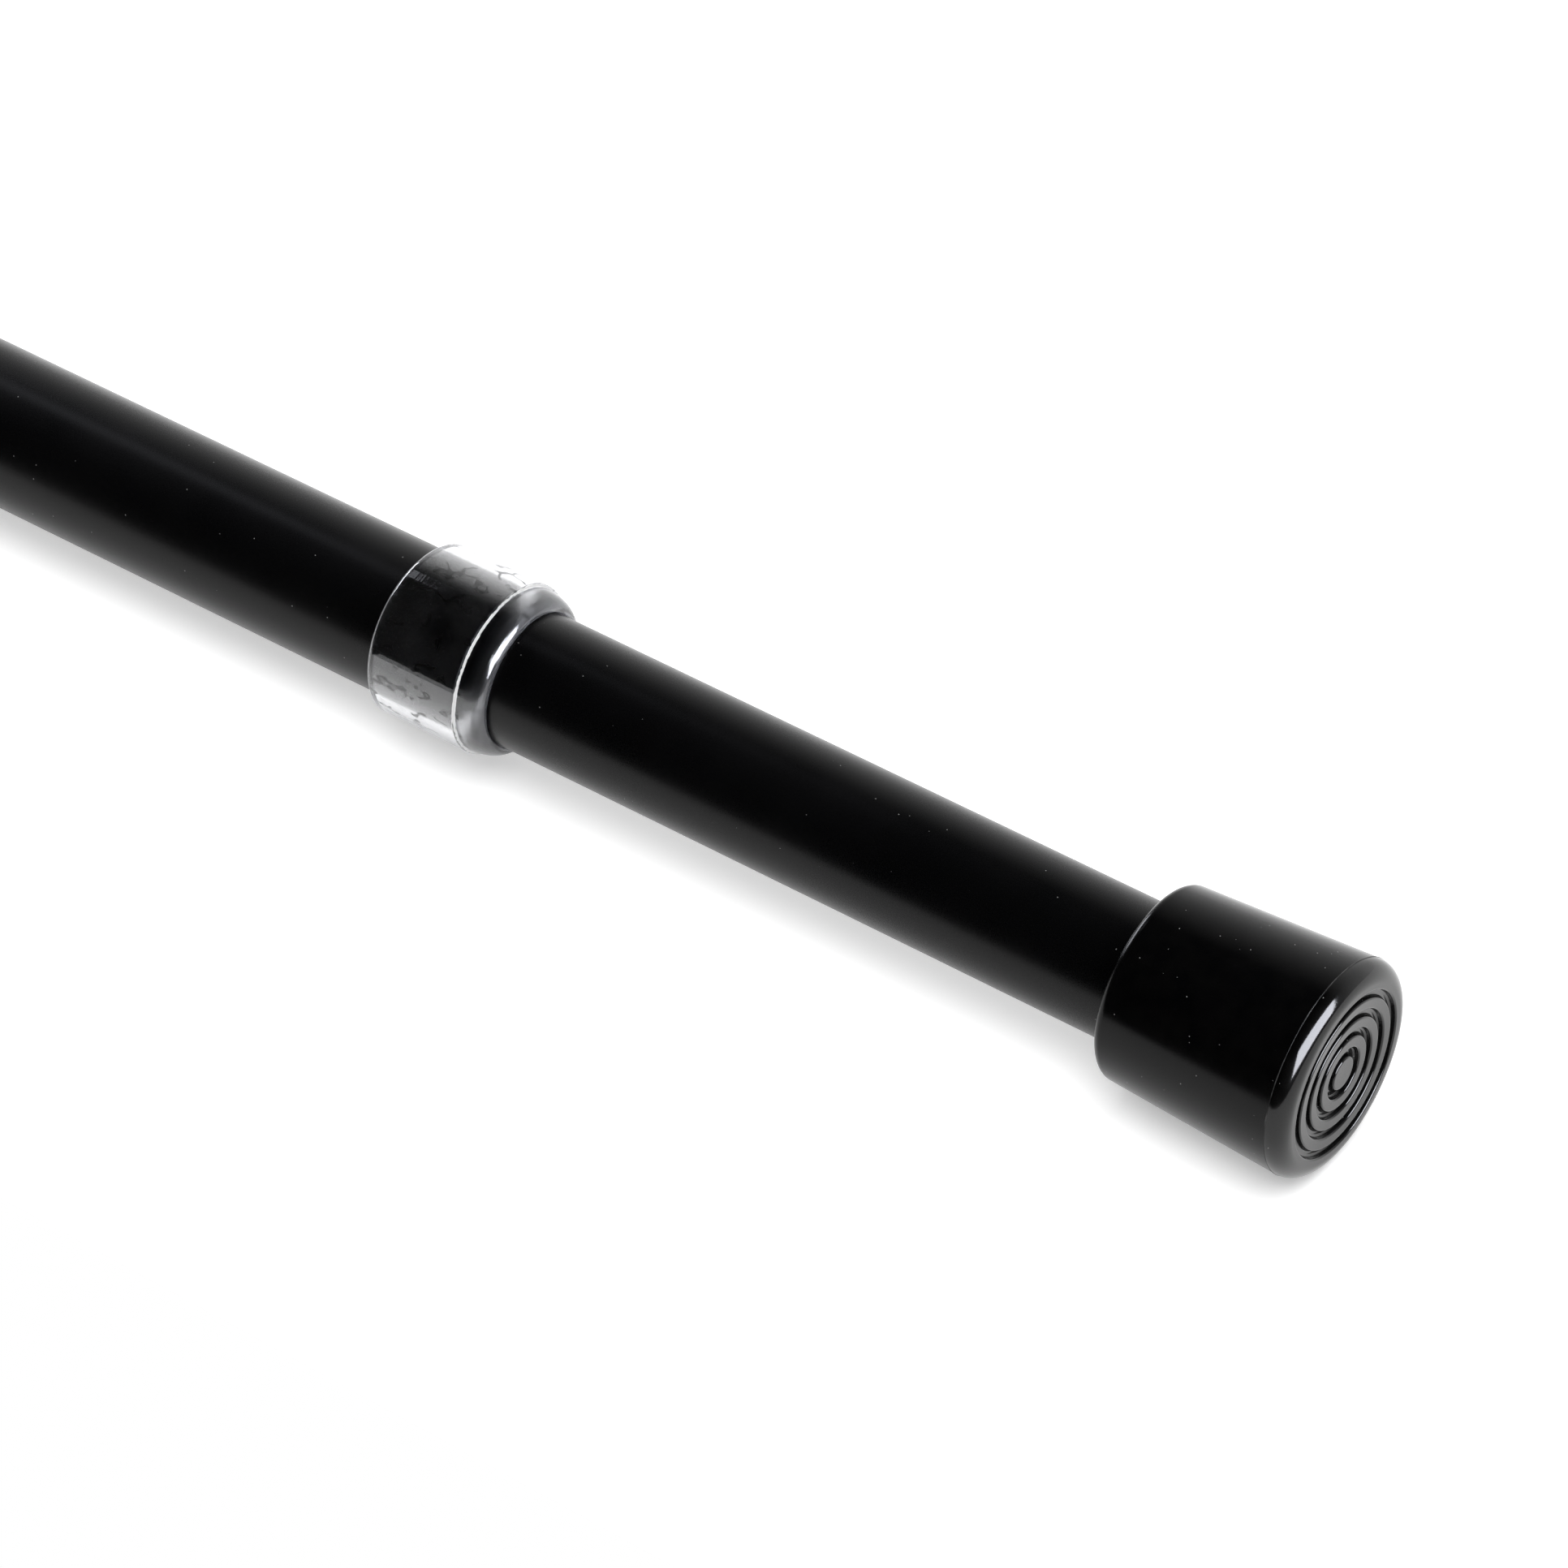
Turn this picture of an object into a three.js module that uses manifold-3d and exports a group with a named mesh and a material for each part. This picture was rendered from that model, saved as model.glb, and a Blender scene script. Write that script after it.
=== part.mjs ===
// Adjustable doorway bar: two telescoping tubes, a soft ring-faced cap on each end, a clear collar
// over the joint, and a friction anchor, screw and take-up spring inside.
// Millimetres, +X along the bar from the fixed end, +Z up. The origin is the centre of the fixed
// end's face, so the bar's axis is the X axis.
import * as THREE from "three";
import { mergeVertices } from "three/addons/utils/BufferGeometryUtils.js";
import Module from "manifold-3d";

const wasm = await Module();
wasm.setup();

// Overall
const LENGTH = 800; // end face to end face as stored

// Tubes
const OUTER_R = 14; // outer tube, outside radius
const OUTER_BORE = 12.8;
const OUTER_FROM = 8.8;
const OUTER_TO = 625;
const INNER_R = 12.7; // inner tube, outside radius
const INNER_BORE = 11.2;
const INNER_FROM = 233;
const INNER_TO = LENGTH - 8.6;
const EDGE = 0.3; // chamfer on the tube ends

// End caps, measured from the face towards the mouth
const CAP_LENGTH = 38.8;
const CAP_R = 19.9; // largest radius, at the moulding's parting line
const CAP_MOUTH_R = 18;
const CAP_LIP = 1.9; // radius of the rounded mouth
const CAP_LEAD = 0.6; // chamfer into the bore
const CAP_FILLET = 3.3;
const CAP_FLOOR = 6.5; // thickness between the face and the tube's end
const CAP_CLEARANCE = 0.2; // radial, over the tube
const GROOVES = [[3.2, 4.6], [7.05, 8.15], [10.5, 11.6], [14, 15.1]]; // ring grooves, inner and outer radius
const GROOVE_DEPTH = 0.9;
const GROOVE_DRAFT = 0.15;

// Clear collar
const COLLAR_FROM = 607;
const COLLAR_STEP = 626.4; // where the front ring begins
const COLLAR_TO = 631.3;
const COLLAR_R = 16.3;
const COLLAR_RING_R = 15.7;

const COLLAR_CLEARANCE = 0.15; // radial, over each tube

// Plugs in the tube ends, measured from the bar's nearer end face
const PLUG_FACE = 6.9;
const PLUG_FLANGE = 1.6;
const PLUG_WEB = 4.2; // flange face to the hollow
const PLUG_LENGTH = 20;
const PLUG_RIVET_AT = 19;
const PLUG_RIVET_R = 1.6;
const PLUG_RIVET_TAIL_R = 2.5;
const PLUG_RIVET_HOLE = 1.9; // radius

// Screw
const ROD_R = 5; // over the thread
const ROD = [141, 292]; // from, to along the bar, as in every span below
const ROD_CHAMFER = 0.8;
const NUT_BORE = 5.25; // running clearance on the screw
const FIXED_BORE = 5.4; // pieces that are fixed on the screw
const PIN_GAP = 0.3;
const HEX = 17; // across flats
const SOCKET_CLEARANCE = 0.4; // across flats

// Anchor in the outer tube
const ANCHOR_NUT = [142, 150];
const FRONT_WASHER = [150.4, 151.9];
const SLEEVE = [152.3, 177.3];
const CONE = [160.5, 186];
const REAR_WASHER = [186.4, 187.9];
const LOCK_NUT = [188.2, 195.7];
const ANCHOR_WASHER_R = 11.5;
const SLEEVE_R = 12.45;
const SLEEVE_RIDGES = [158, 163, 168]; // where each shallow groove between the ridges starts
const SLEEVE_SLOT = 2.4;
const CONE_R = 12.2;
const ROD_STOP = [282.2, 290.2];
const ROD_STOP_R = 6.6;

// Nut, its glide ring and its carrier in the inner tube
const NECK = [210.6, 239];
const NECK_R = 7;
const NECK_SLOTS = [212, 220.6]; // where each snap ring's slot starts
const SLOT_WIDTH = 1.8;
const SLOT_R = 6.3;
const NUT_HEAD = [238.6, 254.4];
const GLIDE = [214.2, 220.2];
const SNAP_RING_WIDTH = 1.4;
const CARRIER = [234, 254];
const CARRIER_BORE = 7.3;
const SOCKET_FROM = 238.3;
const FITTING_R = 10.95; // carrier and spring seat, inside the inner tube
const CARRIER_RIVET_AT = 236.2;
const CARRIER_RIVET_R = 1.3;
const CARRIER_RIVET_HOLE = 1.6;

// Take-up spring and its seat
const SPRING_WASHER = [254.7, 256.2];
const SPRING_WASHER_R = 10.6;
const SPRING = [258, 289.8]; // centres of the first and last wire
const SPRING_R = 8.5; // centre of the wire
const WIRE_R = 1.2;
const SPRING_TURNS = 5;
const SEAT = [291.4, 299.4];
const SEAT_BORE = 7.2;
const SEAT_RIVET_AT = (SEAT[0] + SEAT[1]) / 2;
const SEAT_RIVET_R = 1.5;
const SEAT_RIVET_HOLE = 1.8;

// Segments round a turned piece
const ROUND = 48;
const MOULDED = 32;
const SMALL = 24;

// A turned piece about the X axis. Each profile point is [x, radius]: along the outside towards +X,
// and back along the inside, or from axis to axis.
function turned(profile, segments = ROUND) {
  const points = profile.map(([x, r]) => new THREE.Vector2(r, x));
  return new THREE.LatheGeometry(points, segments).rotateZ(-Math.PI / 2);
}

// A ring or tube over a span of the bar, its profile closed on itself and both ends chamfered.
function ring([from, to], bore, radius, chamfer, segments) {
  return turned(
    [
      [from, bore],
      [from, radius - chamfer],
      [from + chamfer, radius],
      [to - chamfer, radius],
      [to, radius - chamfer],
      [to, bore],
      [from, bore],
    ],
    segments,
  );
}

// A pin along Z through the bar's axis at x, reaching as far up as down.
function upright(x, reach, radius) {
  return new THREE.CylinderGeometry(radius, radius, 2 * reach, 12)
    .rotateX(Math.PI / 2)
    .translate(x, 0, 0);
}

// A hexagonal bar along X, its flats facing up and down.
function hexagonal([from, to], acrossFlats) {
  const r = acrossFlats / 2 / Math.cos(Math.PI / 6);
  const shape = new THREE.Shape(
    [0, 1, 2, 3, 4, 5].map((i) => {
      const angle = Math.PI / 6 + (i * Math.PI) / 3;
      return new THREE.Vector2(r * Math.cos(angle), r * Math.sin(angle));
    }),
  );
  return new THREE.ExtrudeGeometry(shape, { depth: to - from, bevelEnabled: false })
    .rotateY(Math.PI / 2)
    .translate(from, 0, 0);
}

function box(x, y, z, width, depth, height) {
  return new THREE.BoxGeometry(width, depth, height).translate(x, y, z);
}

// Geometry to solid and back, for the booleans.
function solid(geometry) {
  const bare = new THREE.BufferGeometry();
  bare.setAttribute("position", geometry.getAttribute("position"));
  if (geometry.index) bare.setIndex(geometry.index);
  const merged = mergeVertices(bare, 1e-3);
  const corners = merged.index.array;
  const kept = [];
  for (let i = 0; i < corners.length; i += 3) {
    const [a, b, c] = corners.slice(i, i + 3);
    if (a !== b && b !== c && c !== a) kept.push(a, b, c);
  }
  return new wasm.Manifold(
    new wasm.Mesh({
      numProp: 3,
      vertProperties: merged.attributes.position.array,
      triVerts: new Uint32Array(kept),
    }),
  );
}

function geometryOf(made) {
  const mesh = made.getMesh();
  const positions = new Float32Array(mesh.numVert * 3);
  for (let i = 0; i < mesh.numVert; i++)
    for (let k = 0; k < 3; k++)
      positions[3 * i + k] = mesh.vertProperties[mesh.numProp * i + k];
  const geometry = new THREE.BufferGeometry();
  geometry.setAttribute("position", new THREE.BufferAttribute(positions, 3));
  geometry.setIndex(new THREE.BufferAttribute(mesh.triVerts, 1));
  return geometry.toNonIndexed();
}

function cut(geometry, ...tools) {
  return geometryOf(tools.reduce((left, tool) => left.subtract(solid(tool)), solid(geometry)));
}

function joined(...geometries) {
  return geometries.map(solid).reduce((all, next) => all.add(next));
}

// Finishes
const BLACK_PAINT = { color: 0x0d0d0e, roughness: 0.38, metalness: 0.25 };
const BLACK_VINYL = { color: 0x0b0b0c, roughness: 0.22, metalness: 0 };
const BLACK_NYLON = { color: 0x1b1b1d, roughness: 0.55, metalness: 0 };
const WHITE_NYLON = { color: 0xd9d7cf, roughness: 0.5, metalness: 0 };
const ZINC = { color: 0xb9bcc0, roughness: 0.35, metalness: 0.9 };
const DARK_STEEL = { color: 0x5c5e62, roughness: 0.4, metalness: 0.9 };
const CLEAR = { color: 0xe6e8ea, roughness: 0.12, metalness: 0, transparent: true, opacity: 0.45 };

const group = new THREE.Group();

function place(name, geometry, finish) {
  geometry.computeVertexNormals();
  const mesh = new THREE.Mesh(geometry, new THREE.MeshStandardMaterial(finish));
  mesh.name = name;
  group.add(mesh);
}

// The rivets stand in pairs, above and below the axis.
const SIDES = [1, -1];
const RIVET_TAIL_HEIGHT = 1;

// A tube with a pair of rivet holes at each [x, radius] given.
function tube(span, bore, radius, holes) {
  return cut(ring(span, bore, radius, EDGE), ...holes.map(([x, r]) => upright(x, 2 * radius, r)));
}

// A flush rivet: a straight shank with a tail on the inside.
function rivet(x, side, inner, outer, shank, tail) {
  const profile = [
    [inner, 0],
    [inner, tail],
    [inner + RIVET_TAIL_HEIGHT, tail],
    [inner + RIVET_TAIL_HEIGHT, shank],
    [outer, shank],
    [outer, 0],
  ];
  const points = profile.map(([height, r]) => new THREE.Vector2(r, height));
  return new THREE.LatheGeometry(points, 12)
    .rotateX((side * Math.PI) / 2)
    .translate(x, 0, 0);
}

function outerTube() {
  const holes = [[PLUG_RIVET_AT, PLUG_RIVET_HOLE]];
  place("outer_tube", tube([OUTER_FROM, OUTER_TO], OUTER_BORE, OUTER_R, holes), BLACK_PAINT);
}

function innerTube() {
  const holes = [
    [CARRIER_RIVET_AT, CARRIER_RIVET_HOLE],
    [SEAT_RIVET_AT, SEAT_RIVET_HOLE],
    [LENGTH - PLUG_RIVET_AT, PLUG_RIVET_HOLE],
  ];
  place("inner_tube", tube([INNER_FROM, INNER_TO], INNER_BORE, INNER_R, holes), BLACK_PAINT);
}

// Depth from the face against radius: grooved face, rounded edge, gently tapering wall, rounded
// mouth, and a blind bore for the tube.
function capProfile(bore) {
  const points = [[0, 0]];
  for (const [inner, outer] of GROOVES) {
    points.push([0, inner], [GROOVE_DEPTH, inner + GROOVE_DRAFT]);
    points.push([GROOVE_DEPTH, outer - GROOVE_DRAFT], [0, outer]);
  }
  const centre = CAP_R - CAP_FILLET;
  for (const degrees of [0, 22.5, 45, 67.5, 90]) {
    const a = (degrees * Math.PI) / 180;
    points.push([CAP_FILLET * (1 - Math.cos(a)), centre + CAP_FILLET * Math.sin(a)]);
  }
  for (const degrees of [0, 45, 90]) {
    const a = (degrees * Math.PI) / 180;
    const back = CAP_LIP * (1 - Math.sin(a));
    points.push([CAP_LENGTH - back, CAP_MOUTH_R - CAP_LIP * (1 - Math.cos(a))]);
  }
  points.push([CAP_LENGTH, bore + CAP_LEAD], [CAP_LENGTH - CAP_LEAD, bore]);
  points.push([CAP_FLOOR, bore], [CAP_FLOOR, 0]);
  return points;
}

function leftCap() {
  place("left_end_cap", turned(capProfile(OUTER_R + CAP_CLEARANCE), MOULDED), BLACK_VINYL);
}

function rightCap() {
  const profile = capProfile(INNER_R + CAP_CLEARANCE).map(([depth, r]) => [LENGTH - depth, r]);
  place("right_end_cap", turned(profile.reverse(), MOULDED), BLACK_VINYL);
}

// A plastic plug that fills a tube's end: a flange outside and a hollow body inside, drilled for
// its two rivets.
function endPlug(name, atEnd, flangeR, bodyR, hollowR) {
  const profile = [
    [0, 0],
    [0, flangeR],
    [PLUG_FLANGE, flangeR],
    [PLUG_FLANGE, bodyR],
    [PLUG_LENGTH, bodyR],
    [PLUG_LENGTH, hollowR],
    [PLUG_WEB, hollowR],
    [PLUG_WEB, 0],
  ].map(([depth, r]) => [atEnd(PLUG_FACE + depth), r]);
  if (atEnd(1) < atEnd(0)) profile.reverse();
  const drill = upright(atEnd(PLUG_RIVET_AT), OUTER_R, PLUG_RIVET_HOLE);
  place(name, cut(turned(profile, MOULDED), drill), BLACK_NYLON);
}

function plugRivets(name, atEnd, inner, outer) {
  SIDES.forEach((side, i) => {
    const x = atEnd(PLUG_RIVET_AT);
    const pin = rivet(x, side, inner, outer, PLUG_RIVET_R, PLUG_RIVET_TAIL_R);
    place(`${name}_${i + 1}`, pin, ZINC);
  });
}

// Sits over the outer tube's front end and closes down to the inner tube with a tapered ring.
function clearCollar() {
  const profile = [
    [COLLAR_FROM, OUTER_R + COLLAR_CLEARANCE],
    [COLLAR_FROM, COLLAR_R - 1.1],
    [COLLAR_FROM + 0.4, COLLAR_R - 0.3],
    [COLLAR_FROM + 1.2, COLLAR_R],
    [COLLAR_STEP - 0.4, COLLAR_R],
    [COLLAR_STEP, COLLAR_R - 0.3],
    [COLLAR_STEP, COLLAR_RING_R],
    [COLLAR_STEP + 2.2, COLLAR_RING_R - 0.3],
    [COLLAR_TO - 1, COLLAR_RING_R - 1.1],
    [COLLAR_TO, COLLAR_RING_R - 2.3],
    [COLLAR_TO, INNER_R + COLLAR_CLEARANCE],
    [OUTER_TO + 2 * COLLAR_CLEARANCE, INNER_R + COLLAR_CLEARANCE],
    [OUTER_TO + 2 * COLLAR_CLEARANCE, OUTER_R + COLLAR_CLEARANCE],
    [COLLAR_FROM, OUTER_R + COLLAR_CLEARANCE],
  ];
  place("clear_collar", turned(profile, MOULDED), CLEAR);
}

// Pins across the screw: one holds the anchor nut, one the stop. A gap makes the hole for it.
function anchorPin(gap) {
  return upright((ANCHOR_NUT[0] + ANCHOR_NUT[1]) / 2, 8.2 + gap, 1.2 + gap);
}

function stopPin(gap) {
  return upright((ROD_STOP[0] + ROD_STOP[1]) / 2, 6.4 + gap, 0.9 + gap);
}

function threadedRod() {
  const [from, to] = ROD;
  const plain = turned(
    [
      [from, 0],
      [from, ROD_R - ROD_CHAMFER],
      [from + ROD_CHAMFER, ROD_R],
      [to - ROD_CHAMFER, ROD_R],
      [to, ROD_R - ROD_CHAMFER],
      [to, 0],
    ],
    SMALL,
  );
  place("threaded_rod", cut(plain, anchorPin(PIN_GAP), stopPin(PIN_GAP)), ZINC);
}

function washer([from, to], radius) {
  const profile = [[from, FIXED_BORE], [from, radius], [to, radius], [to, FIXED_BORE]];
  return turned([...profile, profile[0]], SMALL);
}

// The anchor grips the outer tube: nuts and washers on the screw squeeze a split sleeve over a cone.
function hexNut(name, span, ...drills) {
  const [from, to] = span;
  const bore = turned([[from - 1, 0], [from - 1, FIXED_BORE], [to + 1, FIXED_BORE], [to + 1, 0]], SMALL);
  place(name, cut(hexagonal(span, HEX), bore, ...drills), ZINC);
}

function anchor() {
  hexNut("anchor_nut", ANCHOR_NUT, anchorPin(PIN_GAP));
  place("anchor_roll_pin", anchorPin(0), DARK_STEEL);
  place("anchor_washer_front", washer(FRONT_WASHER, ANCHOR_WASHER_R), ZINC);
  place("anchor_washer_rear", washer(REAR_WASHER, ANCHOR_WASHER_R), ZINC);
  hexNut("anchor_lock_nut", LOCK_NUT);
}

function expanderSleeve() {
  const [from, to] = SLEEVE;
  const profile = [[from, 5.6], [from, SLEEVE_R - 0.7], [from + 0.7, SLEEVE_R]];
  for (const x of SLEEVE_RIDGES) {
    profile.push([x, SLEEVE_R], [x + 0.5, SLEEVE_R - 0.6], [x + 1.5, SLEEVE_R - 0.6], [x + 2, SLEEVE_R]);
  }
  profile.push([to, SLEEVE_R], [to, 11.2], [CONE[0] - 0.5, 7.6], [from + 3.2, 7.6], [from + 3.2, 5.6]);
  profile.push(profile[0]);
  const middle = to - 9.3;
  const slots = [
    box(middle, 0, 0, 20, 2 * OUTER_R, SLEEVE_SLOT),
    box(middle, 0, 0, 20, SLEEVE_SLOT, 2 * OUTER_R),
  ];
  place("expander_sleeve", cut(turned(profile, SMALL), ...slots), WHITE_NYLON);
}

function expanderCone() {
  const [from, to] = CONE;
  const profile = [
    [from, FIXED_BORE],
    [from, 7.2],
    [to - 7, 11.05],
    [to - 5.8, CONE_R],
    [to, CONE_R],
    [to, FIXED_BORE],
    [from, FIXED_BORE],
  ];
  place("expander_cone", turned(profile, SMALL), DARK_STEEL);
}

// Keeps the nut from running off the screw's end.
function rodStop() {
  const collar = ring(ROD_STOP, FIXED_BORE, ROD_STOP_R, 0.3, SMALL);
  place("rod_stop_collar", cut(collar, stopPin(PIN_GAP)), DARK_STEEL);
  place("rod_stop_pin", stopPin(0), DARK_STEEL);
}

// Rides in the outer tube and centres the nut's neck, which turns in it.
function glideRing() {
  const plain = ring(GLIDE, NECK_R + 0.25, SLEEVE_R, 0.6, MOULDED);
  const notches = [0, 1, 2].map((i) =>
    box((GLIDE[0] + GLIDE[1]) / 2, 0, SLEEVE_R + 0.6, 8, 3, 4).rotateX((i * 2 * Math.PI) / 3),
  );
  place("glide_ring", cut(plain, ...notches), WHITE_NYLON);
}

// A hexagonal nut with a long neck that holds the glide ring between two snap rings.
function driveNut() {
  const [from, to] = NECK;
  const profile = [[from, 0], [from, NECK_R - 0.4], [from + 0.4, NECK_R]];
  for (const x of NECK_SLOTS) {
    profile.push([x, NECK_R], [x, SLOT_R], [x + SLOT_WIDTH, SLOT_R], [x + SLOT_WIDTH, NECK_R]);
  }
  profile.push([to, NECK_R], [to, 0]);
  const bore = turned([[from - 5, 0], [from - 5, NUT_BORE], [to + 20, NUT_BORE], [to + 20, 0]], SMALL);
  const body = joined(turned(profile, SMALL), hexagonal(NUT_HEAD, HEX)).subtract(solid(bore));
  place("drive_nut", geometryOf(body), DARK_STEEL);
}

// A split ring in the middle of a slot in the nut's neck.
function snapRing(name, slot) {
  const from = slot + (SLOT_WIDTH - SNAP_RING_WIDTH) / 2;
  const whole = ring([from, from + SNAP_RING_WIDTH], SLOT_R + 0.3, NECK_R + 1.4, 0.1, SMALL);
  place(name, cut(whole, box(from + SNAP_RING_WIDTH / 2, 0, 8, 3, 5, 8)), DARK_STEEL);
}

// Turns the nut with the inner tube, but lets it slide along its hexagonal socket.
function nutCarrier() {
  const whole = ring(CARRIER, CARRIER_BORE, FITTING_R, EDGE, MOULDED);
  const socket = hexagonal([SOCKET_FROM, CARRIER[1] + 2], HEX + SOCKET_CLEARANCE);
  const drill = upright(CARRIER_RIVET_AT, OUTER_R, CARRIER_RIVET_HOLE);
  place("nut_carrier", cut(whole, socket, drill), ZINC);
}

function innerRivets() {
  SIDES.forEach((side, i) => {
    const carrier = rivet(CARRIER_RIVET_AT, side, 7.8, 12.6, CARRIER_RIVET_R, CARRIER_RIVET_R);
    const seat = rivet(SEAT_RIVET_AT, side, 7.7, 12.6, SEAT_RIVET_R, SEAT_RIVET_R);
    place(`carrier_rivet_${i + 1}`, carrier, ZINC);
    place(`seat_rivet_${i + 1}`, seat, ZINC);
  });
}

class Coil extends THREE.Curve {
  constructor(from, to, radius, turns) {
    super();
    Object.assign(this, { from, to, radius, turns });
  }
  getPoint(t, target = new THREE.Vector3()) {
    const a = 2 * Math.PI * this.turns * t;
    const x = this.from + (this.to - this.from) * t;
    return target.set(x, this.radius * Math.cos(a), this.radius * Math.sin(a));
  }
}

// Pushes the seat, and the inner tube with it, away from the nut.
function takeUpSpring() {
  const wire = new THREE.Shape().absarc(0, 0, WIRE_R, 0, 2 * Math.PI);
  const path = new Coil(...SPRING, SPRING_R, SPRING_TURNS);
  const options = { extrudePath: path, steps: 70, curveSegments: 3, bevelEnabled: false };
  place("take_up_spring", new THREE.ExtrudeGeometry(wire, options), DARK_STEEL);
}

function springSeat() {
  place("spring_washer", washer(SPRING_WASHER, SPRING_WASHER_R), ZINC);
  const plain = ring(SEAT, SEAT_BORE, FITTING_R, 0.4, MOULDED);
  place("spring_seat", cut(plain, upright(SEAT_RIVET_AT, OUTER_R, SEAT_RIVET_HOLE)), ZINC);
}

const fromLeft = (depth) => depth;
const fromRight = (depth) => LENGTH - depth;

outerTube();
innerTube();
leftCap();
rightCap();
endPlug("left_end_plug", fromLeft, 13.9, 12.5, 10);
endPlug("right_end_plug", fromRight, 12.6, 10.9, 8.4);
plugRivets("left_plug_rivet", fromLeft, 8.6, 13.95);
plugRivets("right_plug_rivet", fromRight, 7, 12.65);
clearCollar();
threadedRod();
anchor();
expanderSleeve();
expanderCone();
rodStop();
glideRing();
driveNut();
snapRing("nut_snap_ring_front", NECK_SLOTS[0]);
snapRing("nut_snap_ring_rear", NECK_SLOTS[1]);
nutCarrier();
innerRivets();
takeUpSpring();
springSeat();

export default group;
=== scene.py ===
import math

import bpy
from mathutils import Matrix, Vector


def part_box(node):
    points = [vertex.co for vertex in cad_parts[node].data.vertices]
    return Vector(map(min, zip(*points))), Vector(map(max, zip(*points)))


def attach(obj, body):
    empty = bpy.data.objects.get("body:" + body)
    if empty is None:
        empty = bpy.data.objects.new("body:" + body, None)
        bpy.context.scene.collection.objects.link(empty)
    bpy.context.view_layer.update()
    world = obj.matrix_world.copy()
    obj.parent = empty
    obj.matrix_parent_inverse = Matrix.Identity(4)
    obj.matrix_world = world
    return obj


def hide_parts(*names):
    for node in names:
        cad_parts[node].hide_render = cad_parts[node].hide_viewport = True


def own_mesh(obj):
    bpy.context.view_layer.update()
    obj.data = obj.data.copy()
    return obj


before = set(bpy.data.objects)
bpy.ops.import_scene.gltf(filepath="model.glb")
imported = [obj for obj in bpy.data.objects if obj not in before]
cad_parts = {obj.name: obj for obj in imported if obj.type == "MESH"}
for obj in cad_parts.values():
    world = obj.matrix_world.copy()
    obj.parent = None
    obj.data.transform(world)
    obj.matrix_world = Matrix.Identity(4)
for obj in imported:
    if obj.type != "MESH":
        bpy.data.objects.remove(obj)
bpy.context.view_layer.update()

# A telescoping doorway bar on a white table, seen from its near end. Metres, in the frame of the
# CAD model: X along the bar, Z up. The main sizes of the pieces come from the CAD nodes.
MM = 0.001
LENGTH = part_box("right_end_cap")[1].x
CAP_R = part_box("right_end_cap")[1].z
FLOOR_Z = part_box("right_end_cap")[0].z

# The cap's face: four ring grooves in a slightly dished face, a rounded edge, and a parting line
GROOVES = [(3.1, 4.75), (6.95, 8.35), (10.4, 11.8), (13.9, 15.3)]  # inner and outer radius, mm
GROOVE_DEPTH = 1.15 * MM
LIP = 0.32 * MM  # rounding at the top of a groove
FOOT = 0.45 * MM  # rounding at the bottom of a groove
DISH = 0.55 * MM
FILLET = 3.3 * MM  # rounded edge between the face and the wall
FLASH = 0.07 * MM  # bead of the parting line

# The rest of the cap
CAP_MOUTH_R = 18 * MM
CAP_MOUTH_EDGE = 1.9 * MM
CAP_MOUTH_START = 85  # degrees, where the mouth's rounding meets the tapered wall
CAP_BORE_EDGE = 0.4 * MM
CAP_FLOOR = 6.5 * MM  # thickness between the face and the tube's end
LEFT_CAP_BORE = 14.2 * MM
RIGHT_CAP_BORE = 12.9 * MM

OUTER_WALL = 1.2 * MM
INNER_WALL = 1.5 * MM
TUBE_EDGE = 0.3 * MM
TUBE_BORE_EDGE = 0.2 * MM

COLLAR_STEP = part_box("clear_collar")[0].x + 19.4 * MM  # where the collar's front ring begins
COLLAR_RING_R = 15.7 * MM
COLLAR_CLEARANCE = 0.15 * MM  # over each tube
COLLAR_RIM = 1.1 * MM  # rounding of the back rim
COLLAR_EDGE = 0.3 * MM
COLLAR_LIP = 0.2 * MM

SCREW_LEAD = 3 * MM
SCREW_DEPTH = 1.5 * MM
SCREW_TAPER = 1.2 * MM  # chamfer at both ends

SPRING_WIRE_R = 1.2 * MM
SPRING_TURNS = 6.5
SPRING_CLOSED_TURNS = 0.8  # at each end
SPRING_CLOSED_GAP = 1.04  # pitch of a closed turn, in wire diameters

# Shine of the tubes' paint, and of the caps' vinyl on the wall and on the mould half of the face
PAINT_GLOSS = 0.155
WALL_GLOSS = 0.13
FACE_GLOSS = 0.3

# Camera: a long lens that looks down the near end of the bar
VIEW_AZIMUTH = 35.82
VIEW_ELEVATION = 42.01
VIEW_DISTANCE = 1.2
VIEW_LENS = 160.4
AIM_FROM_END = 114.2 * MM
AIM_UP = 3.19 * MM

TABLE_GLOW = 0.36

# Backdrop: how far back a direction points where it starts and where it is full, and its brightness
BACKDROP_FROM = 0.34
BACKDROP_TO = 0.95
BACKDROP = 1.5
BACKDROP_CURVE = 1.25
SOFTBOX_COLOR = (0.9, 0.92, 1.0)

ROUND = 256  # segments round a turned piece
SCREW_ROUND = 48
SCREW_STEPS = 12  # rings of points in one lead
WIRE_ROUND = 16
COIL_STEPS = 48  # points in one turn
HOLD = 0.05 * MM  # distance of the extra points that hold a straight run


# ---------------------------------------------------------------- mesh code

def arc(x, r, radius, start, end, steps):
    """Points (x, r) of a circular arc, by angle from the +X direction towards +R, in degrees."""
    points = []
    for i in range(steps + 1):
        a = math.radians(start + (end - start) * i / steps)
        points.append((x + radius * math.cos(a), r + radius * math.sin(a)))
    return points


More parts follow.
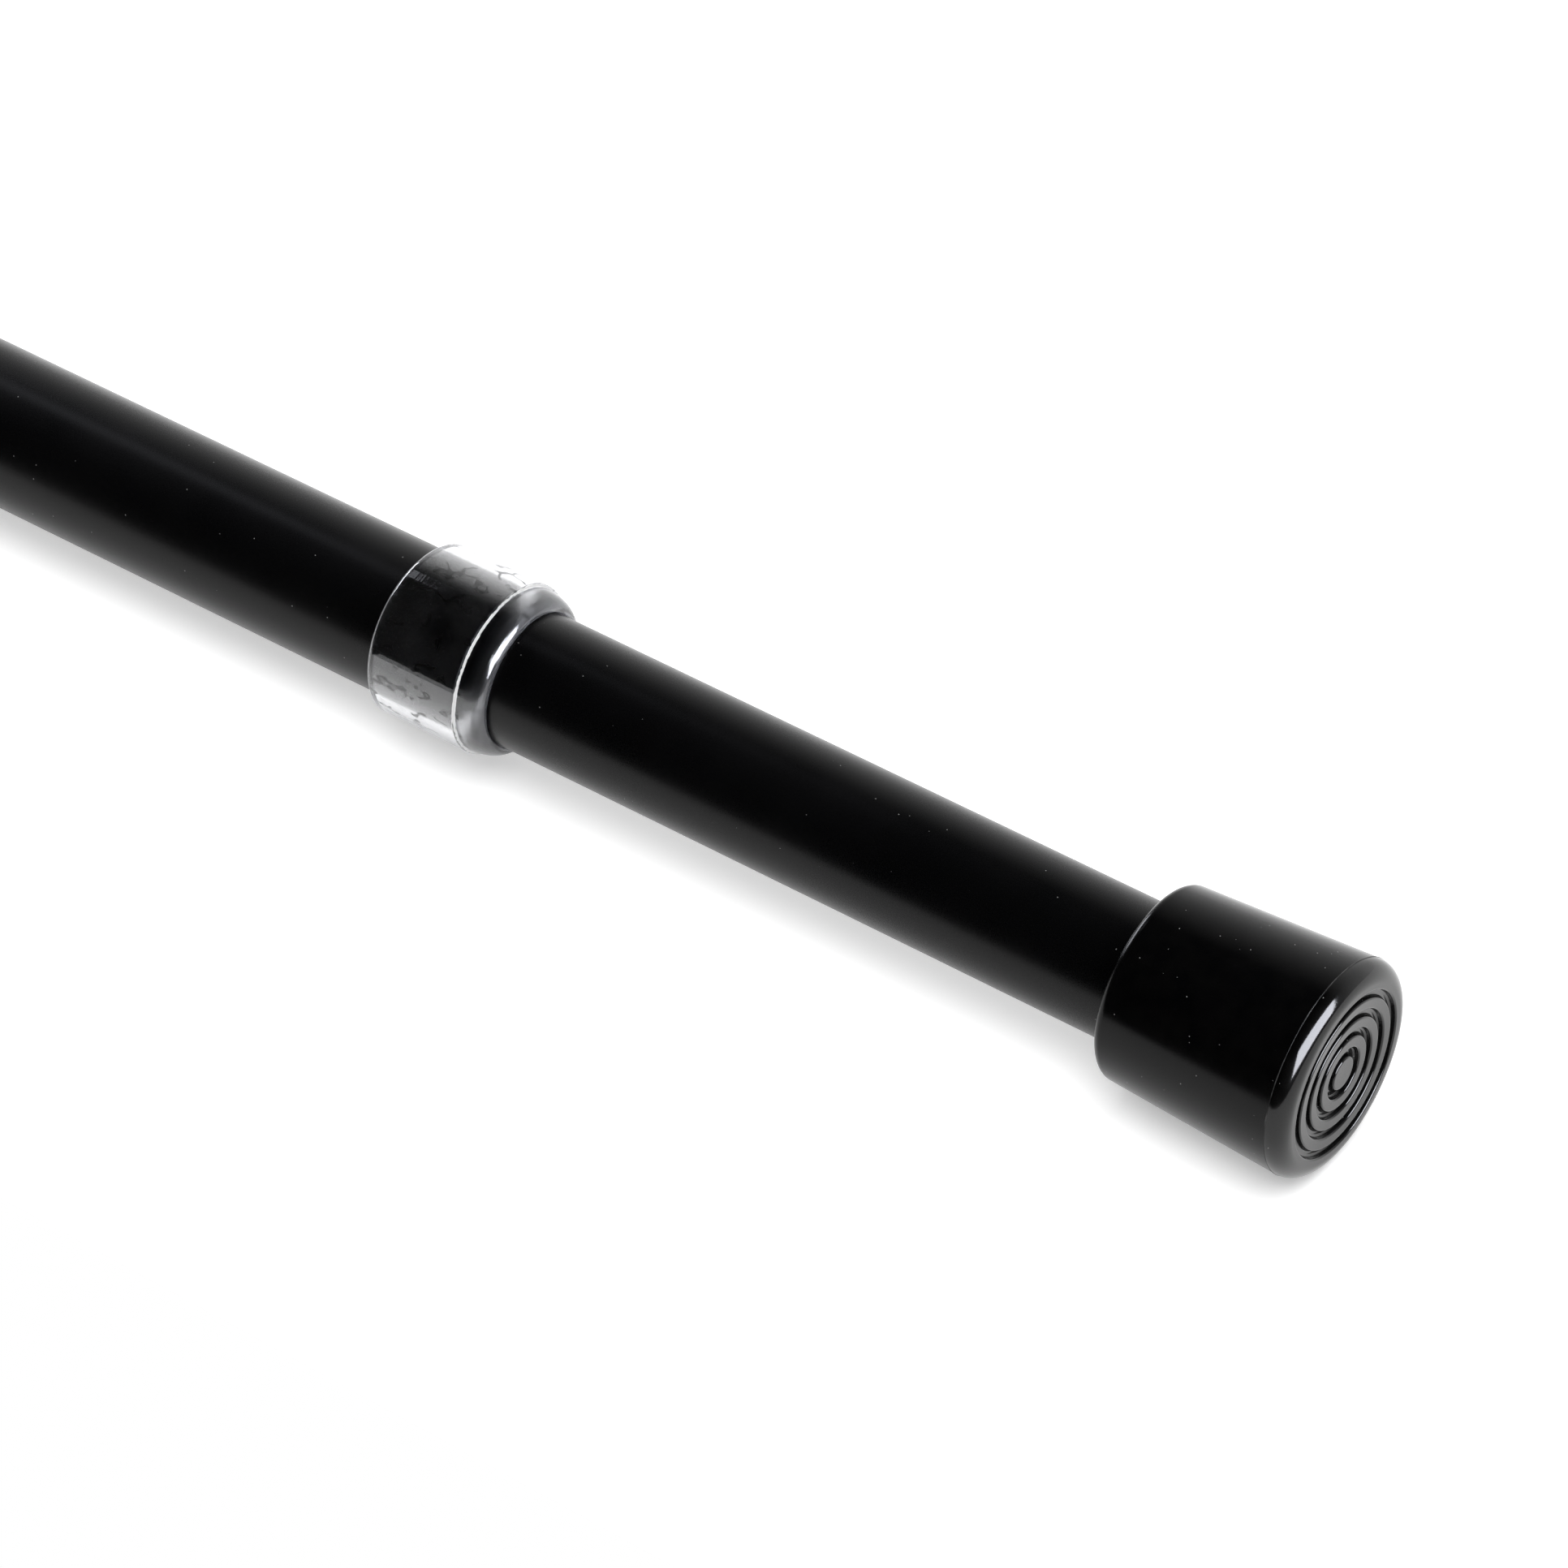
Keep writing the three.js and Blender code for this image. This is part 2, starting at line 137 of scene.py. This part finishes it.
def add_mesh(name, vertices, faces, sharp_degrees=40):
    mesh = bpy.data.meshes.new(name)
    mesh.from_pydata(vertices, [], faces)
    mesh.polygons.foreach_set("use_smooth", [True] * len(mesh.polygons))
    mesh.set_sharp_from_angle(angle=math.radians(sharp_degrees))
    mesh.update()
    obj = bpy.data.objects.new(name, mesh)
    bpy.context.scene.collection.objects.link(obj)
    return obj


def held(outline, closed):
    """The outline with a point close to both ends of each straight run, so that smooth shading
    stays true along it."""
    points = []
    for i, a in enumerate(outline):
        points.append(a)
        if i == len(outline) - 1 and not closed:
            break
        b = outline[(i + 1) % len(outline)]
        length = math.dist(a, b)
        if length > 6 * HOLD:
            for share in (HOLD / length, 1 - HOLD / length):
                points.append((a[0] + (b[0] - a[0]) * share, a[1] + (b[1] - a[1]) * share))
    return points


def revolve(name, outline, closed=True):
    """Turns an outline of (x, r) points about the X axis. It runs along the outside towards +X and
    back along the inside, or from axis to axis when it isn't closed."""
    outline = held(outline, closed)
    count = len(outline)
    vertices, rows = [], []
    for x, r in outline:
        if r < 1e-9:
            rows.append([len(vertices)] * ROUND)
            vertices.append((x, 0, 0))
            continue
        rows.append(list(range(len(vertices), len(vertices) + ROUND)))
        for k in range(ROUND):
            a = 2 * math.pi * k / ROUND
            vertices.append((x, r * math.cos(a), r * math.sin(a)))
    faces = []
    for i in range(count if closed else count - 1):
        j = (i + 1) % count
        for k in range(ROUND):
            n = (k + 1) % ROUND
            faces.append(list(dict.fromkeys([rows[i][k], rows[i][n], rows[j][n], rows[j][k]])))
    return add_mesh(name, vertices, faces)


def sweep(name, centres, tangents, radius):
    """A round wire coiled about the X axis, along a list of points, with flat ends."""
    vertices, faces = [], []
    for centre, tangent in zip(centres, tangents):
        outward = Vector((0, centre.y, centre.z)).normalized()
        side = tangent.cross(outward).normalized()
        for k in range(WIRE_ROUND):
            a = 2 * math.pi * k / WIRE_ROUND
            vertices.append(centre + radius * (math.cos(a) * outward + math.sin(a) * side))
    for i in range(len(centres) - 1):
        for k in range(WIRE_ROUND):
            n = (k + 1) % WIRE_ROUND
            low, high = i * WIRE_ROUND, (i + 1) * WIRE_ROUND
            faces.append((low + k, low + n, high + n, high + k))
    faces.append(tuple(range(WIRE_ROUND))[::-1])
    last = (len(centres) - 1) * WIRE_ROUND
    faces.append(tuple(range(last, last + WIRE_ROUND)))
    return add_mesh(name, vertices, faces)


# ---------------------------------------------------------------- materials

class Shader:
    """A short way to write a node material."""

    def __init__(self, name):
        self.material = bpy.data.materials.new(name)
        self.material.use_nodes = True
        self.tree = self.material.node_tree
        self.tree.nodes.clear()
        self.output = self.tree.nodes.new("ShaderNodeOutputMaterial")
        self.place = self.add("ShaderNodeTexCoord").outputs["Object"]

    def add(self, kind, inputs=None, **settings):
        node = self.tree.nodes.new(kind)
        for key, value in settings.items():
            setattr(node, key, value)
        for key, value in (inputs or {}).items():
            if isinstance(value, bpy.types.NodeSocket):
                self.tree.links.new(value, node.inputs[key])
            else:
                node.inputs[key].default_value = value
        return node

    def noise(self, scale, detail=3.0, stretch=(1, 1, 1), roughness=0.5):
        """Noise with features of about 1/scale metres."""
        where = self.add("ShaderNodeMapping", {"Vector": self.place, "Scale": stretch})
        found = self.add(
            "ShaderNodeTexNoise",
            {"Vector": where.outputs[0], "Scale": scale, "Detail": detail, "Roughness": roughness},
        )
        return found.outputs["Fac"]

    def ramp(self, value, low, high, to_low=0.0, to_high=1.0):
        """value from low..high to to_low..to_high, clamped."""
        return self.add(
            "ShaderNodeMapRange",
            {"Value": value, "From Min": low, "From Max": high, "To Min": to_low, "To Max": to_high},
        ).outputs[0]

    def math(self, operation, a, b=0.0):
        return self.add("ShaderNodeMath", {0: a, 1: b}, operation=operation).outputs[0]

    def blend(self, factor, a, b):
        """Colour a to colour b."""
        return self.add("ShaderNodeMix", {0: factor, 6: a, 7: b}, data_type="RGBA").outputs[2]

    def specks(self, spacing, radius, share):
        """Round specks of dust: 1 on a speck and 0 elsewhere. share is the part of the cells with one."""
        cells = self.add("ShaderNodeTexVoronoi", {"Vector": self.place, "Scale": 1 / spacing})
        dot = self.ramp(cells.outputs["Distance"], radius / spacing, 0.6 * radius / spacing)
        chosen = self.add("ShaderNodeSeparateColor", {"Color": cells.outputs["Color"]})
        kept = self.math("LESS_THAN", chosen.outputs[0], share)
        return self.math("MULTIPLY", dot, kept)

    def bump(self, height, distance, strength, normal=None):
        inputs = {"Height": height, "Distance": distance, "Strength": strength}
        if normal is not None:
            inputs["Normal"] = normal
        return self.add("ShaderNodeBump", inputs).outputs[0]

    def finish(self, inputs):
        surface = self.add("ShaderNodeBsdfPrincipled", inputs)
        self.tree.links.new(surface.outputs[0], self.output.inputs[0])
        return self.material


def grey(level):
    return (level, level, level, 1.0)


def black_paint():
    """Satin black paint: a fine grain, a faint orange peel, and a little dust."""
    s = Shader("satin_black_paint")
    grain = s.noise(4200, detail=2)
    peel = s.noise(520, detail=2)
    cloud = s.noise(38, detail=4)
    dust = s.specks(2.4 * MM, 0.13 * MM, 0.4)
    base = s.blend(s.ramp(cloud, 0.35, 0.7), (0.0005, 0.0005, 0.0006, 1), (0.0011, 0.001, 0.0011, 1))
    color = s.blend(dust, base, grey(0.16))
    rough = s.ramp(s.math("ADD", s.math("MULTIPLY", grain, 0.5), s.math("MULTIPLY", cloud, 0.5)),
                   0.3, 0.7, 0.25, 0.33)
    normal = s.bump(grain, 0.012 * MM, 0.6)
    normal = s.bump(peel, 0.02 * MM, 0.35, normal)
    return s.finish({"Base Color": color, "Roughness": rough, "Normal": normal,
                     "Specular IOR Level": PAINT_GLOSS})


def black_vinyl(name, gloss, smooth, rough):
    """Moulded vinyl with rub marks, a fine grain and specks of dust, and a faint bloom on the face.
    A thin lighter grey line along the parting line, broken here and there, is a painted highlight on
    its bead. smooth and rough are the roughness away from the rub marks and on them."""
    s = Shader(name)
    x = s.add("ShaderNodeSeparateXYZ", {"Vector": s.place}).outputs["X"]
    depth = s.math("MINIMUM", x, s.math("SUBTRACT", LENGTH, x))
    face = s.ramp(depth, 0.2 * FILLET, 0.95 * FILLET, 1.0, 0.0)
    wave = s.noise(90, detail=2)
    rub = s.noise(60, detail=5, stretch=(0.35, 1, 1), roughness=0.65)
    grain = s.noise(3200, detail=2)
    cloud = s.noise(260, detail=4)
    dust = s.specks(1.6 * MM, 0.1 * MM, 0.6)
    from_line = s.math("ABSOLUTE", s.math("SUBTRACT", depth, FILLET + FLASH))
    # Painted highlight: a thin lighter grey line along the parting line's bead, broken here and there.
    painted_parting_highlight = s.math("MULTIPLY", s.ramp(from_line, 0.13 * MM, 0.05 * MM), s.ramp(s.noise(330), 0.42, 0.62))
    bare = s.blend(s.ramp(cloud, 0.35, 0.75), (0.0005, 0.0005, 0.0006, 1), (0.0014, 0.0013, 0.0013, 1))
    bloom = s.blend(s.ramp(cloud, 0.35, 0.75), (0.003, 0.003, 0.003, 1), (0.008, 0.008, 0.008, 1))
    color = s.blend(face, bare, bloom)
    # The parting line's painted highlight.
    color = s.blend(painted_parting_highlight, color, grey(0.05))
    color = s.blend(dust, color, grey(0.3))
    roughness = s.math("ADD", s.ramp(rub, 0.45, 0.8, smooth, rough), s.math("MULTIPLY", dust, 0.4))
    normal = s.bump(grain, 0.006 * MM, 0.6)
    normal = s.bump(wave, 0.03 * MM, 0.5, normal)
    return s.finish({"Base Color": color, "Roughness": roughness, "Normal": normal,
                     "Specular IOR Level": gloss})


def clear_plastic():
    """Clear moulded plastic with fine moulding lines round it, milky where it is seen edge on. It
    wets the tube in thin dark strokes, where no air is left between the two. Its step carries a
    thin white band, a painted highlight, and the plastic is painted greyer edge on and darker on
    the front ring, as painted shade."""
    s = Shader("clear_plastic")
    split = s.add("ShaderNodeSeparateXYZ", {"Vector": s.place})
    x, y, z = (split.outputs[axis] for axis in "XYZ")
    radius = s.math("SQRT", s.math("ADD", s.math("MULTIPLY", y, y), s.math("MULTIPLY", z, z)))
    lines = s.noise(900, detail=2, stretch=(1, 0.02, 0.02))
    cloud = s.noise(150, detail=3)
    streaks = s.noise(420, detail=3, stretch=(1, 0.12, 0.12))
    ring = s.ramp(x, COLLAR_STEP, COLLAR_STEP + 0.6 * MM)
    facing = s.add("ShaderNodeLayerWeight", {"Blend": 0.5}).outputs["Facing"]
    edge_on = s.ramp(facing, 0.3, 0.92)

    stroke = s.math("ABSOLUTE", s.math("SUBTRACT", s.noise(210, detail=2, stretch=(0.6, 1, 1)), 0.5))
    thin = s.ramp(stroke, s.ramp(s.noise(600), 0.3, 0.7, 0.014, 0.042), 0.004)
    on_bore = s.ramp(radius, 14.5 * MM, 14.3 * MM)
    behind_step = s.ramp(x, COLLAR_STEP - 0.3 * MM, COLLAR_STEP - 0.6 * MM)
    here = s.math("MULTIPLY", on_bore, behind_step)
    wet = s.math("MULTIPLY", s.math("MULTIPLY", here, thin), s.ramp(s.noise(240, detail=2), 0.51, 0.54))

    # Painted highlight: a thin band of uneven width along the outer edge of the step, painted white and
    # opaque.
    from_step = s.math("ABSOLUTE", s.math("SUBTRACT", x, COLLAR_STEP))
    reach = s.math("ADD", s.ramp(s.noise(45), 0.4, 0.6, -0.02 * MM, 0.16 * MM),
                   s.ramp(s.noise(1300, detail=3), 0.35, 0.65, -0.06 * MM, 0.08 * MM))
    on_outside = s.ramp(radius, COLLAR_RING_R - 0.2 * MM, COLLAR_RING_R)
    painted_step_highlight = s.math("MULTIPLY", s.math("LESS_THAN", from_step, reach), on_outside)

    milky = s.math("MULTIPLY", edge_on, s.ramp(ring, 0.0, 1.0, 0.5, 0.12))
    haze = s.math("ADD", s.ramp(cloud, 0.35, 0.7, 0.001, 0.005), milky)
    haze = s.math("ADD", haze, s.math("MULTIPLY", ring, s.ramp(streaks, 0.5, 0.75, 0.0, 0.03)))
    opaque = s.math("MAXIMUM", haze, s.math("MAXIMUM", wet, painted_step_highlight))
    # Painted shade: the plastic is painted greyer where it is seen edge on, as a dark outline, and much
    # darker on the front ring, so less shows through it.
    shaded_tint = s.blend(s.ramp(facing, 0.45, 0.85), (0.87, 0.875, 0.89, 1), (0.5, 0.51, 0.53, 1))
    shaded_tint = s.blend(ring, shaded_tint, (0.25, 0.255, 0.27, 1))
    color = s.blend(s.math("GREATER_THAN", wet, 0.02), shaded_tint, grey(0.001))
    # The step's painted highlight.
    color = s.blend(painted_step_highlight, color, grey(0.75))
    rough = s.math("ADD", s.ramp(cloud, 0.35, 0.7, 0.03, 0.06), s.math("MULTIPLY", ring, 0.12))
    rough = s.math("MAXIMUM", rough, s.math("MULTIPLY", s.math("MAXIMUM", wet, painted_step_highlight), 0.5))
    normal = s.bump(lines, 0.01 * MM, 0.5)
    normal = s.bump(cloud, 0.015 * MM, 0.25, normal)
    return s.finish({"Base Color": color, "Roughness": rough, "Normal": normal, "IOR": 1.56,
                     "Specular IOR Level": 0.04, "Metallic": wet,
                     "Transmission Weight": s.math("SUBTRACT", 1.0, opaque)})


def nylon(name, dark, light):
    s = Shader(name)
    cloud = s.noise(220, detail=4)
    grain = s.noise(2400, detail=2)
    color = s.blend(s.ramp(cloud, 0.35, 0.7), dark, light)
    rough = s.ramp(grain, 0.3, 0.7, 0.42, 0.58)
    return s.finish({"Base Color": color, "Roughness": rough, "Normal": s.bump(grain, 0.015 * MM, 0.5)})


def steel(name, dark, light, smooth, rough):
    """Turned steel: fine lines round the axis and uneven plating."""
    s = Shader(name)
    lines = s.noise(2200, detail=2, stretch=(1, 0.03, 0.03))
    cloud = s.noise(260, detail=4)
    color = s.blend(s.ramp(cloud, 0.35, 0.7), dark, light)
    roughness = s.ramp(lines, 0.3, 0.7, smooth, rough)
    return s.finish({
        "Base Color": color,
        "Metallic": 1.0,
        "Roughness": roughness,
        "Normal": s.bump(lines, 0.008 * MM, 0.5),
    })


PAINT = black_paint()
WALL_VINYL = black_vinyl("black_vinyl_wall", WALL_GLOSS, 0.19, 0.27)
FACE_VINYL = black_vinyl("black_vinyl_face", FACE_GLOSS, 0.1, 0.16)
CLEAR = clear_plastic()
BLACK_NYLON = nylon("black_nylon", (0.012, 0.012, 0.013, 1), (0.02, 0.02, 0.021, 1))
WHITE_NYLON = nylon("white_nylon", (0.62, 0.6, 0.54, 1), (0.72, 0.7, 0.64, 1))
ZINC = steel("zinc_steel", (0.52, 0.53, 0.55, 1), (0.68, 0.69, 0.7, 1), 0.22, 0.36)
DARK_STEEL = steel("dark_steel", (0.11, 0.11, 0.115, 1), (0.2, 0.2, 0.205, 1), 0.26, 0.4)


# ---------------------------------------------------------------- pieces

def settle(piece, body, slot, material, *nodes):
    piece.data.materials.append(material)
    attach(piece, body)
    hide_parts(*nodes)
    return piece


def tube(name, node, wall, slot, body):
    """A drawn tube with both ends slightly rounded."""
    low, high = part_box(node)
    radius, bore = high.z, high.z - wall
    edge, inside = TUBE_EDGE, TUBE_BORE_EDGE
    outline = arc(low.x + edge, radius - edge, edge, 180, 90, 4)
    outline += arc(high.x - edge, radius - edge, edge, 90, 0, 4)
    outline += arc(high.x - inside, bore + inside, inside, 0, -90, 3)
    outline += arc(low.x + inside, bore + inside, inside, -90, -180, 3)
    settle(revolve(name, outline), body, slot, PAINT, node)


def cap_outline(length, bore):
    """Depth from the face against radius, from the centre of the face out and round to the bore."""
    outline = [(0, 0)]
    for inner, outer in [(a * MM, b * MM) for a, b in GROOVES]:
        outline += arc(LIP, inner - LIP, LIP, 180, 90, 6)
        outline += arc(GROOVE_DEPTH - FOOT, inner + FOOT, FOOT, 270, 360, 4)
        outline += arc(GROOVE_DEPTH - FOOT, outer - FOOT, FOOT, 0, 90, 4)
        outline += arc(LIP, outer + LIP, LIP, 270, 180, 6)
    outline = [(depth + DISH * (1 - (r / outline[-1][1]) ** 2), r) for depth, r in outline]
    outline += arc(FILLET, CAP_R - FILLET - FLASH, FILLET, 180, 90, 20)
    outline += arc(FILLET + FLASH, CAP_R - FLASH, FLASH, 180, 0, 6)
    mouth, edge = CAP_MOUTH_EDGE, CAP_BORE_EDGE
    outline += [(length - mouth, CAP_MOUTH_R)]
    outline += arc(length - mouth, CAP_MOUTH_R - mouth, mouth, CAP_MOUTH_START, 0, 10)
    outline += arc(length - edge, bore + edge, edge, 0, -90, 4)
    outline += [(CAP_FLOOR, bore), (CAP_FLOOR, 0)]
    return outline


def cap(name, node, body, bore, face_x, direction):
    """A soft cap whose face lies at face_x, with its mouth in the direction, 1 or -1, from there."""
    low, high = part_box(node)
    outline = [(face_x + direction * depth, r) for depth, r in cap_outline(high.x - low.x, bore)]
    if direction < 0:
        outline.reverse()
    piece = settle(revolve(name, outline, closed=False), body, "cap_vinyl", WALL_VINYL, node)
    piece.data.materials.append(FACE_VINYL)
    for polygon in piece.data.polygons:
        if abs(polygon.center.x - face_x) < FILLET:
            polygon.material_index = 1


def collar():
    """Clear collar: a sleeve over the outer tube, a step, and a rounded front ring down to the lip."""
    low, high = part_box("clear_collar")
    edge, rim, lip = COLLAR_EDGE, COLLAR_RIM, COLLAR_LIP
    tube_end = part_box("outer_tube")[1].x + edge
    sleeve_r = high.z
    sleeve_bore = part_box("outer_tube")[1].z + COLLAR_CLEARANCE
    lip_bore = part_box("inner_tube")[1].z + COLLAR_CLEARANCE
    outline = arc(low.x + edge, sleeve_bore + edge, edge, 270, 180, 3)
    outline += arc(low.x + rim, sleeve_r - rim, rim, 180, 90, 8)
    outline += arc(COLLAR_STEP - edge, sleeve_r - edge, edge, 90, 0, 4)
    root = 0.15 * MM
    outline += arc(COLLAR_STEP + root, COLLAR_RING_R + root, root, 180, 270, 3)
    length = high.x - COLLAR_STEP
    lowest = lip_bore + edge
    steps = 15
    for i in range(1, steps):
        a = math.radians(90 - 90 * i / steps)
        outline.append((COLLAR_STEP + length * math.cos(a),
                        lowest + (COLLAR_RING_R - lowest) * math.sin(a)))
    outline += arc(high.x - lip, lip_bore + lip, lip, 0, -90, 3)
    outline += [(tube_end, lip_bore), (tube_end, sleeve_bore)]
    settle(revolve("collar", outline), "outer", "clear_plastic", CLEAR, "clear_collar")


def thread_depth(x, turn):
    """How far the thread lies under the crest, at a place along the screw and a share of a turn."""
    flank, root = 3.2, 1.1  # slope of the trapezoid's flanks, and how much of it is cut flat
    phase = (x / SCREW_LEAD - turn) % 1.0
    crest = min(max(flank * abs(2 * phase - 1) - root, 0), 1)
    return SCREW_DEPTH * (1 - crest)


def screw():
    """The screw with its real trapezoidal thread, right-handed, one turn for each lead."""
    low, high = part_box("threaded_rod")
    around = SCREW_ROUND
    count = round((high.x - low.x) / (SCREW_LEAD / SCREW_STEPS))
    vertices, faces = [], []
    for i in range(count + 1):
        x = low.x + (high.x - low.x) * i / count
        end = max(0.0, SCREW_TAPER - min(x - low.x, high.x - x))
        for k in range(around):
            turn = k / around
            radius = high.z - max(thread_depth(x, turn), end)
            a = 2 * math.pi * turn
            vertices.append((x, radius * math.cos(a), radius * math.sin(a)))
    for i in range(count):
        for k in range(around):
            n = (k + 1) % around
            faces.append((i * around + k, i * around + n, (i + 1) * around + n, (i + 1) * around + k))
    faces.append(tuple(range(around))[::-1])
    faces.append(tuple(range(count * around, (count + 1) * around)))
    piece = add_mesh("screw", vertices, faces, sharp_degrees=30)
    settle(piece, "anchor", "zinc_steel", ZINC, "threaded_rod")


def spring():
    """A compression spring with closed ends."""
    low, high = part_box("take_up_spring")
    wire, turns, dead = SPRING_WIRE_R, SPRING_TURNS, SPRING_CLOSED_TURNS
    radius = high.z - wire
    free = high.x - low.x - 2 * wire
    closed_pitch = 2 * wire * SPRING_CLOSED_GAP
    open_pitch = (free - 2 * dead * closed_pitch) / (turns - 2 * dead)

    def advance(t):
        return (closed_pitch * min(t, dead) + open_pitch * min(max(t - dead, 0), turns - 2 * dead)
                + closed_pitch * max(t - turns + dead, 0))

    steps = round(COIL_STEPS * turns)
    centres = []
    for i in range(steps + 1):
        t = turns * i / steps
        a = 2 * math.pi * t
        centres.append(Vector((low.x + wire + advance(t), radius * math.cos(a), radius * math.sin(a))))
    tangents = [(centres[min(i + 1, steps)] - centres[max(i - 1, 0)]).normalized()
                for i in range(steps + 1)]
    piece = sweep("coil_spring", centres, tangents, wire)
    settle(piece, "inner", "dark_steel", DARK_STEEL, "take_up_spring")
    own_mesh(piece)


def dress(material, *nodes):
    """A CAD node that stays as it is, with a finished material and smooth round faces."""
    for name in nodes:
        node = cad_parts[name]
        node.data.materials.clear()
        node.data.materials.append(material)
        node.data.polygons.foreach_set("use_smooth", [True] * len(node.data.polygons))
        node.data.set_sharp_from_angle(angle=math.radians(35))


tube("outer_tube_shell", "outer_tube", OUTER_WALL, "outer_tube_paint", "outer")
tube("inner_tube_shell", "inner_tube", INNER_WALL, "inner_tube_paint", "inner")
cap("left_cap", "left_end_cap", "outer", LEFT_CAP_BORE, 0, 1)
cap("right_cap", "right_end_cap", "inner", RIGHT_CAP_BORE, LENGTH, -1)
collar()
screw()
spring()
dress(BLACK_NYLON, "left_end_plug", "right_end_plug")
dress(WHITE_NYLON, "expander_sleeve", "glide_ring")
dress(ZINC, "anchor_nut", "anchor_washer_front", "anchor_washer_rear", "anchor_lock_nut",
      "spring_washer", "nut_carrier", "spring_seat",
      *[f"{place}_rivet_{i}" for place in ("left_plug", "right_plug", "carrier", "seat") for i in (1, 2)])
dress(DARK_STEEL, "anchor_roll_pin", "expander_cone", "rod_stop_collar", "rod_stop_pin",
      "drive_nut", "nut_snap_ring_front", "nut_snap_ring_rear")


# ---------------------------------------------------------------- stage, light and camera

def floor():
    """A white light table that ends a little way in front of the bar."""
    front, back, side = -0.137, 2.5, 2.5
    mesh = bpy.data.meshes.new("table_top")
    corners = [(-side, front), (side, front), (side, back), (-side, back)]
    mesh.from_pydata([(x, y, FLOOR_Z) for x, y in corners], [], [(0, 1, 2, 3)])
    obj = bpy.data.objects.new("table_top", mesh)
    bpy.context.scene.collection.objects.link(obj)
    s = Shader("white_table")
    mesh.materials.append(s.finish({
        "Base Color": grey(0.9), "Roughness": 0.9, "Specular IOR Level": 0.0,
        "Emission Color": grey(1), "Emission Strength": TABLE_GLOW,
    }))


def sun(name, direction, strength, angle):
    """Broad light for the table; it isn't seen in gloss or through the clear collar."""
    light = bpy.data.lights.new(name, "SUN")
    light.energy = strength
    light.angle = math.radians(angle)
    obj = bpy.data.objects.new(name, light)
    obj.rotation_euler = Vector(direction).to_track_quat("Z", "Y").to_euler()
    obj.visible_glossy = False
    obj.visible_transmission = False
    bpy.context.scene.collection.objects.link(obj)


def softbox(name, target, direction, distance, along, width, length, radiance):
    """A lamp that looks at a point of the bar from a direction, its length lying along a line.
    It is seen in gloss only."""
    towards = Vector(direction).normalized()
    side = (Vector(along) - towards * towards.dot(Vector(along))).normalized()
    across = towards.cross(side)
    light = bpy.data.lights.new(name, "AREA")
    light.shape = "RECTANGLE"
    light.size = length
    light.size_y = width
    light.energy = radiance * math.pi * width * length
    light.color = SOFTBOX_COLOR
    obj = bpy.data.objects.new(name, light)
    turn = Matrix((side, across, towards)).transposed()
    obj.matrix_world = Matrix.Translation(Vector(target) + towards * distance) @ turn.to_4x4()
    obj.visible_diffuse = False
    obj.visible_transmission = False
    bpy.context.scene.collection.objects.link(obj)


def room():
    """A dark room with a bright backdrop behind the bar. The camera itself sees plain white past
    the table's edge."""
    world = bpy.data.worlds.new("studio")
    world.use_nodes = True
    bpy.context.scene.world = world
    tree = world.node_tree
    tree.nodes.clear()
    link = tree.links.new
    place = tree.nodes.new("ShaderNodeTexCoord")
    split = tree.nodes.new("ShaderNodeSeparateXYZ")
    link(place.outputs["Generated"], split.inputs[0])
    rise = tree.nodes.new("ShaderNodeMapRange")
    rise.inputs["From Min"].default_value = BACKDROP_FROM
    rise.inputs["From Max"].default_value = BACKDROP_TO
    link(split.outputs["Y"], rise.inputs["Value"])
    curve = tree.nodes.new("ShaderNodeMath")
    curve.operation = "POWER"
    curve.inputs[1].default_value = BACKDROP_CURVE
    link(rise.outputs[0], curve.inputs[0])
    level = tree.nodes.new("ShaderNodeMath")
    level.operation = "MULTIPLY"
    level.inputs[1].default_value = BACKDROP
    link(curve.outputs[0], level.inputs[0])
    dark = tree.nodes.new("ShaderNodeBackground")
    dark.inputs["Color"].default_value = grey(1)
    link(level.outputs[0], dark.inputs["Strength"])
    white = tree.nodes.new("ShaderNodeBackground")
    white.inputs["Color"].default_value = grey(1)
    ray = tree.nodes.new("ShaderNodeLightPath")
    mixed = tree.nodes.new("ShaderNodeMixShader")
    link(ray.outputs["Is Camera Ray"], mixed.inputs[0])
    link(dark.outputs[0], mixed.inputs[1])
    link(white.outputs[0], mixed.inputs[2])
    output = tree.nodes.new("ShaderNodeOutputWorld")
    link(mixed.outputs[0], output.inputs[0])


def camera():
    azimuth, elevation = math.radians(VIEW_AZIMUTH), math.radians(VIEW_ELEVATION)
    right = Vector((math.cos(azimuth), math.sin(azimuth), 0))
    back = Vector((math.sin(azimuth) * math.cos(elevation),
                   -math.cos(azimuth) * math.cos(elevation), math.sin(elevation)))
    up = back.cross(right)
    data = bpy.data.cameras.new("camera")
    data.lens = VIEW_LENS
    data.sensor_width = 36
    data.clip_end = 100
    obj = bpy.data.objects.new("camera", data)
    obj.location = Vector((LENGTH - AIM_FROM_END, 0, 0)) + back * VIEW_DISTANCE + up * AIM_UP
    obj.rotation_euler = back.to_track_quat("Z", "Y").to_euler()
    bpy.context.scene.collection.objects.link(obj)
    bpy.context.scene.camera = obj


floor()
sun("key", (0.19, -0.35, 0.92), 1.62, 38)
sun("dome", (0, 0, 1), 2.5, 120)
softbox("end_box", (LENGTH, 0, 0), (0.8, -0.12, 0.5), 0.9, (0, 1, 0), 0.66, 1.05, 28)
softbox("left_box", (LENGTH - 0.1, 0, 0), (-0.92, 0.25, 0.31), 1.0, (0, 1, 0), 0.3, 0.5, 14)
softbox("far_box", (0.4, 0, 0), (-0.435, 0.23, 0.87), 1.0, (1, 0, 0), 0.2, 0.26, 1.6)
room()
camera()
bpy.context.scene.view_settings.view_transform = "Standard"
